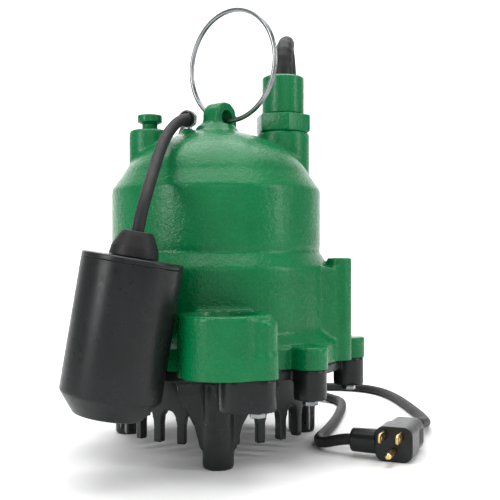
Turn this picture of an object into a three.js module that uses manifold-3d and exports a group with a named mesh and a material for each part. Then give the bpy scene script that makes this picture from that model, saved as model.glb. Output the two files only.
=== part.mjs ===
// Submersible sump pump with a tethered float switch, in millimetres, +Z up.
// The pump stands on its three legs at z = 0. Inside the pump group the motor shaft is the Z axis and
// the discharge boss points along -Y. AXIS_X and AXIS_Y put the middle of the pump's plan at the origin.
import * as THREE from "three";
import { mergeVertices } from "three/addons/utils/BufferGeometryUtils.js";
import Module from "manifold-3d";

const wasm = await Module();
wasm.setup();

// ---- Driving dimensions -------------------------------------------------------------------------
const GAP = 0.3; // left between two pieces that touch
const EPS = 1; // how far a cutter runs past the face it cuts
const AXIS_X = 0;
const AXIS_Y = 17.35;

// Suction base, legs and strainer
const LEG_CIRCLE = 85;
const LEG_RADIUS = 11.3;
const LEG_ANGLES = [-92, 28, 148];
const PLATE_BOTTOM = 62;
const BASE_TOP = 69.7;
const BASE_RADIUS = 99.5;
const BASE_BOSS_RADIUS = 12;
const BASE_BOSS_BOTTOM = 48;
const EYE_RADIUS = 28;
const STRAINER_IN = 70;
const STRAINER_OUT = 77;
const STRAINER_BOTTOM = 14;
const SLOT_COUNT = 24;
const SLOT_HALF = 6.6;
const SLOT_SHOULDER = 27;
const SLOT_TOP = 38;

// Lower casting
const CASE_BOTTOM = 70;
const FLANGE_TOP = 86;
const FLANGE_RADIUS = 100;
const LUG_CIRCLE = 106;
const LUG_RADIUS = 13;
const WALL_RADIUS = 91;
const PARTING = 131;
const CHAMBER_TOP = 94;
const SEAL_PLATE_TOP = 102;
const CASE_BORE = 80;
const COLUMN_CIRCLE = 100;
const COLUMN_RADIUS = 9.5;
const COLUMN_TOP = 149;
const COLUMN_ANGLES = [-20, 100, 220];

// Discharge boss, 1-1/2 inch pipe thread
const BOSS_Y = -116;
const BOSS_RADIUS = 32.5;
const BOSS_TOP = 112;
const BOSS_BORE = 22.5;
const SIDE_COLUMN = [21, -129];
const SIDE_COLUMN_RADIUS = 13.5;
const SIDE_COLUMN_TOP = 108;

// Base screws: the first is in the boss's side column, the others are [angle, circle]
const BASE_SCREWS = [-53.5, -8, 36, 90, 144, 188, 218].map((angle) => onCircle(angle, LUG_CIRCLE));
const SCREW_SHANK = 2.7;
const SCREW_HOLE = 3;
const SCREW_HEAD_ACROSS = 10;
const SCREW_HEAD_HIGH = 4;

// Upper casting
const COLLAR_TOP = 142;
const BODY_RADIUS = 83.5;
const SHOULDER_TOP = 153;
const DOME_START = 197;
const DOME_TOP = 251;
const WALL = 6;
const FILL_TOWER = { x: -53.5, y: 0, r: 16.5, top: 251 };
const GLAND_TOWER = { x: 56.7, y: 21, r: 22, top: 252.5 };

// Lifting lug and ring
const LUG_AZIMUTH = -45; // direction of the ring's hole
const LUG_X = 2.5;
const LUG_THICK = 16;
const LUG_HALF = 12;
const LUG_CENTRE_Z = 262;
const RING_HOLE_Z = 261.2;
const RING_HOLE_RADIUS = 6.2;
const RING_LOW_Z = 258.3; // the wire's centre at the ring's lowest point
const RING_FORWARD = 13; // from the lug to the ring's lowest point
const RING_RADIUS = 44;
const RING_WIRE = 2;

// Motor
const SHAFT_RADIUS = 7.5;
const BEARING_OUT = 17.5;
const BEARING_WIDE = 11;
const LOWER_BEARING_Z = 106.3;
const UPPER_BEARING_Z = 215.3;
const STACK_BOTTOM = 140;
const STACK_TOP = 185;
const STATOR_BORE = 34.5;
const ROTOR_RADIUS = 33.9;

// Float, in its own frame: s = 0 at the lower rim
const FLOAT_BOTTOM_RIM = [-76.5, -119.5, 58.6];
const FLOAT_TILT = 9.4;
const FLOAT_RADIUS = 34.2;
const FLOAT_LENGTH = 92.5;
const FLOAT_CHAMFER = 14;
const FLOAT_FOOT_RADIUS = 23;
const FLOAT_WALL = 2.5;
const LID_HEIGHT = 3.5;
const BOOT_TOP = 110.5;

// Cords
const CORD = 8.5; // diameter
const CLAMP = new THREE.Vector3(-23.2, -10.2, 259);
const CLAMP_AXIS = new THREE.Vector3(0.22, 0.965, 0.13).normalize();
const CLAMP_REACH = 8.6; // everything held in the eye bolt stays inside this ball
const COIL_X = 9.8;
const COIL_Y = 180;
const COIL_MEAN = 49;
const COIL_WIDE = 2 * CORD + 0.4;
const COIL_HIGH = 4 * CORD + 0.4;
const COIL_FLOOR_GAP = 0.2;

// Plugs: the pair of plugs is built along local +Y
const PLUGS_X = 125;
const PLUGS_Y = -81;
const PLUGS_TURN = -27.4;
const PLUG_HALF = 14;
const PLUG_HIGH = 26;
const PLUG_DEEP = 24;
const BLADE_SPACING = 12.7;
const BLADE_Z = 20;
const GROUND_Z = 8.1;

// Facets round a circle, by the size of the circle
const LARGE = 40;
const MEDIUM = 24;
const SMALL = 16;
const TINY = 10;

// ---- Helpers --------------------------------------------------------------------------------------
function rad(degrees) {
  return THREE.MathUtils.degToRad(degrees);
}

function onCircle(angle, radius) {
  return [radius * Math.cos(rad(angle)), radius * Math.sin(rad(angle))];
}

// A closed geometry as a solid for booleans.
function solid(geometry) {
  const bare = geometry.clone();
  bare.deleteAttribute("normal");
  bare.deleteAttribute("uv");
  const merged = mergeVertices(bare, 1e-4);
  const vertProperties = merged.attributes.position.array;
  const triVerts = new Uint32Array(merged.index.array);
  return new wasm.Manifold(new wasm.Mesh({ numProp: 3, vertProperties, triVerts }));
}

function geometryOf(body) {
  const mesh = body.getMesh();
  const geometry = new THREE.BufferGeometry();
  geometry.setAttribute("position", new THREE.BufferAttribute(mesh.vertProperties, 3));
  geometry.setIndex(new THREE.BufferAttribute(mesh.triVerts, 1));
  geometry.computeVertexNormals();
  return geometry;
}

function joined(first, ...others) {
  return others.reduce((whole, other) => whole.add(other), first);
}

function cut(first, ...others) {
  return others.reduce((whole, other) => whole.subtract(other), first);
}

// A profile of [radius, z] points turned about Z. A profile off the axis closes on itself.
function turnedGeometry(profile, segments = MEDIUM) {
  const points = profile.map(([r, z]) => new THREE.Vector2(r, z));
  if (THREE.ShapeUtils.area(points) < 0) points.reverse();
  const onAxis = points[0].x === 0 && points[points.length - 1].x === 0;
  if (!onAxis) points.push(points[0].clone());
  return new THREE.LatheGeometry(points, segments).rotateX(Math.PI / 2);
}

function turned(profile, segments = MEDIUM) {
  return solid(turnedGeometry(profile, segments));
}

function tubeRing(inner, outer, z0, z1, segments = MEDIUM) {
  return turned([[inner, z0], [outer, z0], [outer, z1], [inner, z1]], segments);
}

// An upright cylinder, or a prism when sides is small.
function rod(radius, z0, z1, [x, y] = [0, 0], sides = MEDIUM) {
  const geometry = new THREE.CylinderGeometry(radius, radius, z1 - z0, sides);
  return solid(geometry.rotateX(Math.PI / 2).translate(x, y, (z0 + z1) / 2));
}

function blockGeometry(x0, x1, y0, y1, z0, z1) {
  const geometry = new THREE.BoxGeometry(x1 - x0, y1 - y0, z1 - z0);
  return geometry.translate((x0 + x1) / 2, (y0 + y1) / 2, (z0 + z1) / 2);
}

function block(x0, x1, y0, y1, z0, z1) {
  return solid(blockGeometry(x0, x1, y0, y1, z0, z1));
}

// An outline in x and y, raised from z0 to z1.
function raised(shape, z0, z1, curveSegments = 8) {
  const settings = { depth: z1 - z0, bevelEnabled: false, curveSegments };
  return solid(new THREE.ExtrudeGeometry(shape, settings).translate(0, 0, z0));
}

// An outline in the plane of u (sideways) and z, with its thickness along the azimuth, which is centred.
function upright(shape, thickness, azimuth, radius, curveSegments = 8) {
  const settings = { depth: thickness, bevelEnabled: false, curveSegments };
  const geometry = new THREE.ExtrudeGeometry(shape, settings).translate(0, 0, -thickness / 2);
  geometry.rotateX(Math.PI / 2).rotateZ(Math.PI / 2 + rad(azimuth));
  const [x, y] = onCircle(azimuth, radius);
  return solid(geometry.translate(x, y, 0));
}

function polygon(points) {
  return new THREE.Shape(points.map(([x, y]) => new THREE.Vector2(x, y)));
}

function roundedRectangle(x0, x1, y0, y1, r) {
  const shape = new THREE.Shape();
  shape.absarc(x1 - r, y1 - r, r, 0, Math.PI / 2);
  shape.absarc(x0 + r, y1 - r, r, Math.PI / 2, Math.PI);
  shape.absarc(x0 + r, y0 + r, r, Math.PI, 1.5 * Math.PI);
  shape.absarc(x1 - r, y0 + r, r, 1.5 * Math.PI, 2 * Math.PI);
  return shape;
}

function curveThrough(points) {
  const vectors = points.map(([x, y, z]) => new THREE.Vector3(x, y, z));
  return new THREE.CatmullRomCurve3(vectors, false, "centripetal");
}

// A round cord along a route, with a step about every two and a half diameters.
function cordGeometry(points, diameter = CORD, sides = 8) {
  const path = curveThrough(points);
  const section = new THREE.Shape();
  for (let i = 0; i < sides; i += 1) {
    const angle = (2 * Math.PI * i) / sides;
    const [x, y] = [(diameter / 2) * Math.cos(angle), (diameter / 2) * Math.sin(angle)];
    if (i === 0) section.moveTo(x, y);
    else section.lineTo(x, y);
  }
  const steps = Math.ceil(path.getLength() / (2.5 * diameter));
  return new THREE.ExtrudeGeometry(section, { steps, extrudePath: path, bevelEnabled: false });
}

// A turned profile whose own Z axis is bent along a curve.
function bentAlong(profile, curve, segments = TINY) {
  const geometry = turnedGeometry(profile, segments);
  const length = curve.getLength();
  const positions = geometry.attributes.position;
  const side = new THREE.Vector3(1, 0, 0);
  for (let i = 0; i < positions.count; i += 1) {
    const t = THREE.MathUtils.clamp(positions.getZ(i) / length, 0, 1);
    const centre = curve.getPointAt(t);
    const across = new THREE.Vector3().crossVectors(curve.getTangentAt(t), side).normalize();
    centre.addScaledVector(side, positions.getX(i)).addScaledVector(across, positions.getY(i));
    positions.setXYZ(i, centre.x, centre.y, centre.z);
  }
  return solid(geometry);
}

// ---- Materials ------------------------------------------------------------------------------------
function material(color, roughness, metalness) {
  return () => new THREE.MeshStandardMaterial({ color, roughness, metalness });
}
const castGreen = material(0x00824a, 0.35, 0.1);
const blackPlastic = material(0x2c3132, 0.55, 0);
const cordRubber = material(0x302c2c, 0.7, 0);
const sealRubber = material(0x1c1c1e, 0.8, 0);
const stainless = material(0xb9bcc0, 0.3, 1);
const steel = material(0x8d9196, 0.35, 1);
const brass = material(0xc9a14a, 0.3, 1);
const copper = material(0xb4622d, 0.4, 0.9);
const lamination = material(0x6d7074, 0.5, 0.8);
const ceramic = material(0xe6e2d6, 0.3, 0);
const aluminium = material(0xc4c7ca, 0.35, 1);
const darkPlastic = material(0x3a3d40, 0.6, 0);

const pump = new THREE.Group();
pump.position.set(AXIS_X, AXIS_Y, 0);
const group = new THREE.Group();
group.add(pump);

function addMesh(parent, name, body, makeMaterial) {
  const geometry = body.isBufferGeometry ? body : geometryOf(body);
  const mesh = new THREE.Mesh(geometry, makeMaterial());
  mesh.name = name;
  parent.add(mesh);
  return mesh;
}

// ---- Suction base, strainer -----------------------------------------------------------------------
function suctionBase() {
  const plate = rod(BASE_RADIUS, PLATE_BOTTOM, BASE_TOP, [0, 0], LARGE);
  const collar = rod(EYE_RADIUS + 5, PLATE_BOTTOM - 6, PLATE_BOTTOM + EPS);
  const bosses = BASE_SCREWS.map((at) => rod(BASE_BOSS_RADIUS, BASE_BOSS_BOTTOM, BASE_TOP, at, SMALL));
  const front = raised(roundedRectangle(-5, 33.5, -141, -92, 12), BASE_BOSS_BOTTOM, BASE_TOP, 5);
  let base = joined(plate, collar, ...bosses, front);
  for (const angle of LEG_ANGLES) {
    const leg = turned([[0, 0], [LEG_RADIUS - 1, 0], [LEG_RADIUS, 1.5],
      [LEG_RADIUS + 0.7, PLATE_BOTTOM + EPS], [0, PLATE_BOTTOM + EPS]], SMALL);
    const [x, y] = onCircle(angle, LEG_CIRCLE);
    const rib = polygon([[-13, 14], [13, 14], [17, 30], [28, 50], [30, 63], [-30, 63], [-28, 50], [-17, 30]]);
    base = joined(base, leg.translate([x, y, 0]), upright(rib, 5, angle, LEG_CIRCLE + 1));
  }
  const eye = rod(EYE_RADIUS, PLATE_BOTTOM - 6 - EPS, BASE_TOP + EPS);
  const groove = tubeRing(90, 93, BASE_TOP - 2, BASE_TOP + EPS);
  const holes = [SIDE_COLUMN, ...BASE_SCREWS].map((at) =>
    rod(SCREW_HOLE, BASE_BOSS_BOTTOM - EPS, BASE_TOP + EPS, at, 8));
  return cut(base, eye, groove, ...holes);
}

function inletStrainer() {
  const skirt = tubeRing(STRAINER_IN, STRAINER_OUT, STRAINER_BOTTOM, PLATE_BOTTOM - GAP, LARGE);
  const arch = new THREE.Shape();
  arch.moveTo(-SLOT_HALF, STRAINER_BOTTOM - EPS);
  arch.lineTo(SLOT_HALF, STRAINER_BOTTOM - EPS);
  arch.lineTo(SLOT_HALF, SLOT_SHOULDER);
  arch.quadraticCurveTo(SLOT_HALF * 0.7, SLOT_TOP, 0, SLOT_TOP);
  arch.quadraticCurveTo(-SLOT_HALF * 0.7, SLOT_TOP, -SLOT_HALF, SLOT_SHOULDER);
  const slots = [];
  for (let i = 0; i < SLOT_COUNT; i += 1) {
    slots.push(upright(arch, 16, (360 * i) / SLOT_COUNT, (STRAINER_IN + STRAINER_OUT) / 2, 3));
  }
  const legs = LEG_ANGLES.map((angle) =>
    rod(LEG_RADIUS + 1.1, 0, PLATE_BOTTOM + EPS, onCircle(angle, LEG_CIRCLE), SMALL));
  return cut(skirt, ...slots, ...legs);
}

// ---- Lower casting --------------------------------------------------------------------------------
// The volute widens from its tongue, just past the discharge, round to the discharge.
function voluteOutline() {
  const start = -60;
  const [narrow, wide, steps] = [56, 84, 24];
  const shape = new THREE.Shape();
  for (let i = 0; i <= steps; i += 1) {
    const radius = narrow + ((wide - narrow) * i) / steps;
    const [x, y] = onCircle(start + (330 * i) / steps, radius);
    if (i === 0) shape.moveTo(x, y);
    else shape.lineTo(x, y);
  }
  return shape;
}

// A pad that widens the wall out to a screw column.
function columnPad(angle, z0, z1) {
  const [inner, outer] = [WALL_RADIUS - 4, COLUMN_CIRCLE + 2];
  const corners = [[-17, inner], [-5.5, outer], [5.5, outer], [17, inner]];
  return raised(polygon(corners.map(([turn, radius]) => onCircle(angle + turn, radius))), z0, z1);
}

function voluteCasing() {
  const top = PARTING - GAP;
  const wall = turned([[0, CASE_BOTTOM], [WALL_RADIUS + 6, CASE_BOTTOM], [WALL_RADIUS + 6, FLANGE_TOP + 1],
    [WALL_RADIUS, FLANGE_TOP + 8], [WALL_RADIUS, top], [0, top]], LARGE);
  const flange = rod(FLANGE_RADIUS, CASE_BOTTOM, FLANGE_TOP, [0, 0], LARGE);
  const lugs = [SIDE_COLUMN, ...BASE_SCREWS].map((at) => rod(LUG_RADIUS + (at === SIDE_COLUMN ? 1.3 : 0),
    CASE_BOTTOM, FLANGE_TOP, at, SMALL));
  const columns = COLUMN_ANGLES.map((angle) =>
    joined(rod(COLUMN_RADIUS, CASE_BOTTOM, top, onCircle(angle, COLUMN_CIRCLE), SMALL),
      columnPad(angle, CASE_BOTTOM, top)));
  const boss = turned([[0, CASE_BOTTOM], [BOSS_RADIUS, CASE_BOTTOM], [BOSS_RADIUS, BOSS_TOP - 1.5],
    [BOSS_RADIUS - 1.5, BOSS_TOP], [0, BOSS_TOP]], 36).translate([0, BOSS_Y, 0]);
  const neck = block(-29, 29, BOSS_Y, -70, CASE_BOTTOM, BOSS_TOP - 4);
  const side = rod(SIDE_COLUMN_RADIUS, CASE_BOTTOM, SIDE_COLUMN_TOP, SIDE_COLUMN, SMALL);
  const body = joined(wall, flange, ...lugs, ...columns, boss, neck, side);

  const chamber = raised(voluteOutline(), CASE_BOTTOM - EPS, CHAMBER_TOP);
  const throat = block(-17, 17, BOSS_Y, -50, CASE_BOTTOM + 6, CHAMBER_TOP);
  const port = rod(BOSS_BORE, CASE_BOTTOM + 6, BOSS_TOP + EPS, [0, BOSS_Y], MEDIUM);
  const motorBore = turned([[0, SEAL_PLATE_TOP], [CASE_BORE, SEAL_PLATE_TOP], [CASE_BORE, top + EPS],
    [0, top + EPS]], 36);
  const ringGroove = tubeRing(81.2, 84.8, top - 2.5, top + EPS, 36);
  const shaftHole = rod(9.2, CHAMBER_TOP - EPS, 120, [0, 0]);
  const seatPocket = rod(14.8, CHAMBER_TOP - EPS, 100.3);
  const baseHoles = [SIDE_COLUMN, ...BASE_SCREWS].map((at) => rod(SCREW_HOLE, CASE_BOTTOM - EPS, 84, at, 8));
  const flangeHoles = COLUMN_ANGLES.map((angle) =>
    rod(SCREW_HOLE, 112, top + EPS, onCircle(angle, COLUMN_CIRCLE), 8));
  const hollow = cut(body, chamber, throat, port, motorBore, ringGroove);

  const hub = rod(26, SEAL_PLATE_TOP - EPS, 118);
  const bearingPocket = rod(BEARING_OUT + GAP, LOWER_BEARING_Z - GAP, 118 + EPS);
  return cut(joined(hollow, hub), bearingPocket, shaftHole, seatPocket, ...baseHoles, ...flangeHoles);
}

// ---- Upper casting --------------------------------------------------------------------------------
function domeProfile(radius, bottom, start, top, steps) {
  const points = [[0, bottom], [radius, bottom]];
  for (let i = 0; i <= steps; i += 1) {
    const angle = (Math.PI / 2) * (i / steps);
    points.push([i === steps ? 0 : radius * Math.cos(angle), start + (top - start) * Math.sin(angle)]);
  }
  return points;
}

function lugOutline() {
  const foot = 240;
  const flare = 10;
  const shape = new THREE.Shape();
  shape.moveTo(-LUG_HALF - flare - 3, foot);
  shape.lineTo(LUG_HALF + flare + 3, foot);
  shape.lineTo(LUG_HALF + flare, DOME_TOP - 4);
  shape.quadraticCurveTo(LUG_HALF + 1, DOME_TOP - 2, LUG_HALF, LUG_CENTRE_Z);
  shape.absarc(0, LUG_CENTRE_Z, LUG_HALF, 0, Math.PI);
  shape.quadraticCurveTo(-LUG_HALF - 1, DOME_TOP - 2, -LUG_HALF - flare, DOME_TOP - 4);
  return shape;
}

function motorHousing() {
  const shell = turned(domeProfile(BODY_RADIUS, PARTING, DOME_START, DOME_TOP, 8), LARGE);
  const collar = turned([[0, PARTING], [WALL_RADIUS, PARTING], [WALL_RADIUS, COLLAR_TOP],
    [BODY_RADIUS - EPS, SHOULDER_TOP + 0.9], [0, SHOULDER_TOP + 0.9]], LARGE);
  const columns = COLUMN_ANGLES.map((angle) =>
    joined(rod(COLUMN_RADIUS, PARTING, COLUMN_TOP, onCircle(angle, COLUMN_CIRCLE), SMALL),
      columnPad(angle, PARTING, COLLAR_TOP)));
  const { x: fx, y: fy, r: fr, top: ft } = FILL_TOWER;
  const fillTower = turned([[0, 190], [fr, 190], [fr, ft - 5], [fr - 1.5, ft - 1.5], [fr - 5, ft],
    [0, ft]]);
  const { x: gx, y: gy, r: gr, top: gt } = GLAND_TOWER;
  const glandTower = turned([[0, 190], [gr, 190], [gr, gt - 2], [gr - 2, gt], [0, gt]]);
  const flare = turned([[0, 240], [27, 240], [24, 246], [19, 250], [14, 256], [0, 256]], SMALL);
  const lug = upright(lugOutline(), LUG_THICK, LUG_AZIMUTH, 0, 8).translate([LUG_X, 0, 0]);
  const clampPad = rod(6, 240, CLAMP.z - 8.4, [CLAMP.x, CLAMP.y], TINY);
  const body = joined(shell, collar, ...columns, fillTower.translate([fx, fy, 0]),
    glandTower.translate([gx, gy, 0]), flare, lug, clampPad);

  const cavityTop = DOME_TOP - WALL - 2;
  const cavity = turned(domeProfile(BODY_RADIUS - WALL, PARTING - EPS, DOME_START, cavityTop, 5), 30);
  const hub = rod(24, UPPER_BEARING_Z - 1.5, DOME_TOP - WALL, [0, 0], SMALL);
  const pocket = rod(BEARING_OUT + GAP, UPPER_BEARING_Z - 3, UPPER_BEARING_Z + BEARING_WIDE + GAP);
  const shaftRelief = rod(10, UPPER_BEARING_Z, 231);
  const fillHole = rod(5, 200, ft + EPS, [fx, fy], TINY);
  const wireway = rod(9, 200, gt + EPS, [gx, gy], 16);
  const ringHole = turned([[0, -30], [RING_HOLE_RADIUS, -30], [RING_HOLE_RADIUS, 30], [0, 30]], SMALL)
    .rotate([0, 90, LUG_AZIMUTH]).translate([LUG_X, 0, RING_HOLE_Z]);
  const boltHole = rod(2.7, 239, CLAMP.z, [CLAMP.x, CLAMP.y], 8);
  const screwHoles = COLUMN_ANGLES.map((angle) => {
    const at = onCircle(angle, COLUMN_CIRCLE);
    return joined(rod(SCREW_HOLE, PARTING - EPS, COLLAR_TOP + EPS, at, 8),
      rod(6.6, COLLAR_TOP, SHOULDER_TOP + EPS, at, SMALL));
  });
  const hollow = joined(cut(body, cavity), hub);
  return cut(hollow, pocket, shaftRelief, fillHole, wireway, ringHole, boltHole, ...screwHoles);
}

// ---- Fasteners, seals and fittings ----------------------------------------------------------------
// A hexagon-head screw with its head at the bottom, at z = 0 under the head's bearing face.
function hexScrew(length) {
  const across = SCREW_HEAD_ACROSS / Math.sqrt(3);
  return joined(rod(across, -SCREW_HEAD_HIGH, 0, [0, 0], 6), rod(SCREW_SHANK, -EPS, length, [0, 0], 8));
}

function addFasteners() {
  [SIDE_COLUMN, ...BASE_SCREWS].forEach(([x, y], i) => {
    const screw = addMesh(pump, `base_screw_${i + 1}`, hexScrew(34), stainless);
    screw.position.set(x, y, BASE_BOSS_BOTTOM - GAP);
  });
  COLUMN_ANGLES.forEach((angle, i) => {
    const [x, y] = onCircle(angle, COLUMN_CIRCLE);
    const screw = addMesh(pump, `flange_screw_${i + 1}`, hexScrew(28), stainless);
    screw.rotation.x = Math.PI;
    screw.position.set(x, y, COLLAR_TOP + GAP);
  });
}

function addSeals() {
  addMesh(pump, "base_seal_ring", tubeRing(90.3, 92.7, BASE_TOP - 1.7, BASE_TOP - 0.1), sealRubber);
  const top = PARTING - GAP;
  addMesh(pump, "casing_seal_ring", tubeRing(81.5, 84.5, top - 2.2, top - 0.1, 36), sealRubber);
  addMesh(pump, "seal_seat", tubeRing(8.7, 14.5, CHAMBER_TOP + 0.5, 100), ceramic);
}

function addFillPlug() {
  const { x, y, top } = FILL_TOWER;
  const plug = turned([[0, top - 12], [4.7, top - 12], [4.7, top + GAP], [6.2, top + GAP], [6.2, top + 4.5],
    [9.8, top + 6], [9.8, top + 12], [0, top + 12]], SMALL);
  const slot = block(-11, 11, -1, 1, top + 9.5, top + 12 + EPS);
  addMesh(pump, "fill_plug", cut(plug, slot).translate([x, y, 0]), castGreen);
}

function addGland() {
  const { x, y, top } = GLAND_TOWER;
  const hexTop = top + 15;
  const nutTop = top + 47;
  const hex = rod(20.4 / Math.cos(Math.PI / 6), top + GAP, hexTop, [0, 0], 6).rotate([0, 0, 5]);
  const thread = rod(8.7, top - 14, top + EPS);
  const spigot = rod(12, hexTop - EPS, nutTop - 14);
  const body = cut(joined(hex, thread, spigot), rod(4.9, top - 14 - EPS, nutTop));
  addMesh(pump, "gland_body", body.translate([x, y, 0]), castGreen);
  const nut = turned([[0, hexTop + GAP], [17.5, hexTop + GAP], [17.5, nutTop - 1], [16.5, nutTop],
    [0, nutTop]]);
  const bored = cut(nut, rod(12.3, hexTop, nutTop - 13.6), rod(9.2, hexTop, nutTop + EPS));
  addMesh(pump, "gland_nut", bored.translate([x, y, 0]), castGreen);
}

function addLiftingRing() {
  const ring = new THREE.Mesh(new THREE.TorusGeometry(RING_RADIUS, RING_WIRE, 8, 40), stainless());
  ring.name = "lifting_ring";
  ring.rotation.set(Math.PI / 2, 0, rad(LUG_AZIMUTH), "ZXY");
  const [x, y] = onCircle(LUG_AZIMUTH, RING_FORWARD);
  ring.position.set(LUG_X + x, y, RING_LOW_Z + RING_RADIUS);
  pump.add(ring);
}

function turnTo(body, axis, at) {
  const geometry = geometryOf(body);
  const turn = new THREE.Quaternion().setFromUnitVectors(new THREE.Vector3(0, 0, 1), axis);
  return solid(geometry.applyQuaternion(turn).translate(at.x, at.y, at.z));
}

function addCordEye() {
  const eye = turnTo(tubeRing(5.8, 7, -4.8, 4.8, SMALL), CLAMP_AXIS, CLAMP);
  const shank = rod(2.4, 241, CLAMP.z - 6, [CLAMP.x, CLAMP.y], 8);
  addMesh(pump, "cord_eye_bolt", joined(eye, shank), stainless);
  const sleeve = turnTo(tubeRing(CORD / 2 + 0.6, 5.5, -5.8, 5.8, SMALL), CLAMP_AXIS, CLAMP);
  addMesh(pump, "cord_eye_sleeve", sleeve, sealRubber);
}

// ---- Motor, rotor and impeller --------------------------------------------------------------------
function addStator() {
  addMesh(pump, "stator_core", tubeRing(STATOR_BORE, 76.6, STACK_BOTTOM, STACK_TOP, 36), lamination);
  const coil = (z0, z1) => turned([[43, z0], [65, z0], [67, z0 + 3], [65, z1], [45, z1], [41, z0 + 3]]);
  addMesh(pump, "upper_winding", coil(STACK_TOP + GAP, 202), copper);
  addMesh(pump, "lower_winding", coil(122, STACK_BOTTOM - GAP), copper);
  const protector = raised(roundedRectangle(-10, 10, -58, -46, 2), 202 + GAP, 210, 3);
  addMesh(pump, "overload_protector", protector, darkPlastic);
  const can = turned([[0, -23], [11, -23], [11, 23], [0, 23]], SMALL).rotate([0, 90, 0]);
  addMesh(pump, "run_capacitor", can.translate([0, 45, 214]), aluminium);
}

function addRotor() {
  const seat = SHAFT_RADIUS - 0.2;
  const shaft = turned([[0, 74], [5.7, 74], [5.7, 84.2], [seat, 84.2], [seat, 118.6], [9, 118.6], [9, 213],
    [seat, 213], [seat, 229], [0, 229]], SMALL);
  addMesh(pump, "motor_shaft", shaft, steel);
  const core = joined(tubeRing(9.3, ROTOR_RADIUS, STACK_BOTTOM, STACK_TOP),
    tubeRing(22, 30, STACK_TOP - EPS, STACK_TOP + 6),
    tubeRing(22, 30, STACK_BOTTOM - 6, STACK_BOTTOM + EPS));
  addMesh(pump, "rotor_core", core, aluminium);
  addMesh(pump, "seal_head", tubeRing(SHAFT_RADIUS + 0.1, 12.6, 89.6, CHAMBER_TOP + 0.2), sealRubber);
  addMesh(pump, "seal_spring", tubeRing(8.4, 11.4, 84.3, 89.3), stainless);
}

function addBearings() {
  const [ballGapIn, ballGapOut] = [11.6, 13.2];
  for (const [name, z] of [["lower", LOWER_BEARING_Z], ["upper", UPPER_BEARING_Z]]) {
    const top = z + BEARING_WIDE;
    addMesh(pump, `${name}_bearing_outer`, tubeRing(ballGapOut, BEARING_OUT, z, top), steel);
    addMesh(pump, `${name}_bearing_inner`, tubeRing(SHAFT_RADIUS + 0.1, ballGapIn, z, top), steel);
  }
}

function addImpeller() {
  const disc = turned([[0, 72.5], [10.5, 72.5], [10.5, 80], [50, 81], [50, 83.7], [0, 83.7]]);
  const vanes = [];
  const vaneCount = 6;
  for (let i = 0; i < vaneCount; i += 1) {
    const vane = new THREE.Shape();
    vane.moveTo(8, -1.5);
    vane.quadraticCurveTo(32, -3, 46, -22);
    vane.lineTo(48.4, -20);
    vane.quadraticCurveTo(34, 1, 8, 1.5);
    vanes.push(raised(vane, 72.5, 81.5, 4).rotate([0, 0, (360 * i) / vaneCount]));
  }
  const bore = rod(6, 73.6, 84.5, [0, 0], SMALL);
  addMesh(pump, "impeller", cut(joined(disc, ...vanes), bore), darkPlastic);
}

// ---- Float switch ---------------------------------------------------------------------------------
const floatGroup = new THREE.Group();
floatGroup.position.set(...FLOAT_BOTTOM_RIM);
floatGroup.rotation.y = rad(FLOAT_TILT);
pump.add(floatGroup);

function addFloat() {
  const [r, wall, seam] = [FLOAT_RADIUS, FLOAT_WALL, FLOAT_LENGTH - LID_HEIGHT];
  const shell = turned([[0, -FLOAT_CHAMFER], [FLOAT_FOOT_RADIUS, -FLOAT_CHAMFER], [r, 0], [r, seam - GAP],
    [r - wall, seam - GAP], [r - wall, 1], [FLOAT_FOOT_RADIUS - 1, wall - FLOAT_CHAMFER],
    [0, wall - FLOAT_CHAMFER]]);
  addMesh(floatGroup, "float_shell", shell, blackPlastic);
  const lid = turned([[0, seam], [r, seam], [r, FLOAT_LENGTH - 2], [r - 2, FLOAT_LENGTH],
    [0, FLOAT_LENGTH + 0.6]]);
  const hole = rod(CORD / 2 + 2 * GAP, seam - EPS, FLOAT_LENGTH + 4, [0, 0], TINY);
  addMesh(floatGroup, "float_cap", cut(lid, hole), blackPlastic);
  const bore = CORD / 2 + 2 * GAP;
  const boot = turned([[bore, FLOAT_LENGTH + 0.9], [16.8, FLOAT_LENGTH + 0.9], [15.8, FLOAT_LENGTH + 7],
    [12, BOOT_TOP - 3], [10.5, BOOT_TOP], [bore, BOOT_TOP]], SMALL);
  addMesh(floatGroup, "float_boot", boot, sealRubber);
  const tube = turned([[0, 20], [9, 20], [9, 62], [7.6, 62], [7.6, 22], [0, 22]], SMALL);
  const web = block(-31, 31, -1.2, 1.2, 30, 50);
  const held = joined(tube, cut(web, rod(8.5, 29, 51, [0, 0], SMALL)));
  addMesh(floatGroup, "switch_tube", held, darkPlastic);
  const ball = new THREE.SphereGeometry(7, 14, 10).translate(0, 0, 22.6 + 7);
  addMesh(floatGroup, "switch_ball", solid(ball), steel);
  addMesh(floatGroup, "micro_switch", block(-10, 10, -4, 4, 63, 75), darkPlastic);
}

// ---- Cords ----------------------------------------------------------------------------------------
// Each route is a hand-chosen list of [x, y, z] points from the shaft's axis.
const TETHER_ROUTE = [[-62.1, -119.5, 145.4], [-60.2, -119.5, 157.3], [-58.2, -119.5, 169.1],
  [-55.2, -114.2, 184], [-52, -102, 197.6], [-48.6, -85.1, 211.6], [-44.3, -65.4, 228], [-38.6, -47.5, 242.6],
  [-31.6, -33, 252.9], [-25.4, -19.9, 257.7], [-23.2, -10.2, 259]];
const FLOAT_RISE_ROUTE = [[-25.4, -19.9, 257.7], [-23.2, -10.2, 259], [-21.7, -3.5, 259.9],
  [-21.5, 4.5, 260.2], [-22.6, 14, 258.7], [-25, 25, 255.4], [-28, 40, 248.4], [-32, 55, 239.4],
  [-35.5, 71.5, 225.5], [-38, 82, 204], [-39, 87, 180], [-40.5, 92.5, 160], [-41.5, 96, 140], [-41.5, 98.5, 118], [-38.5, 103.5, 99],
  [-30.5, 111.5, 85.5]];
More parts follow.
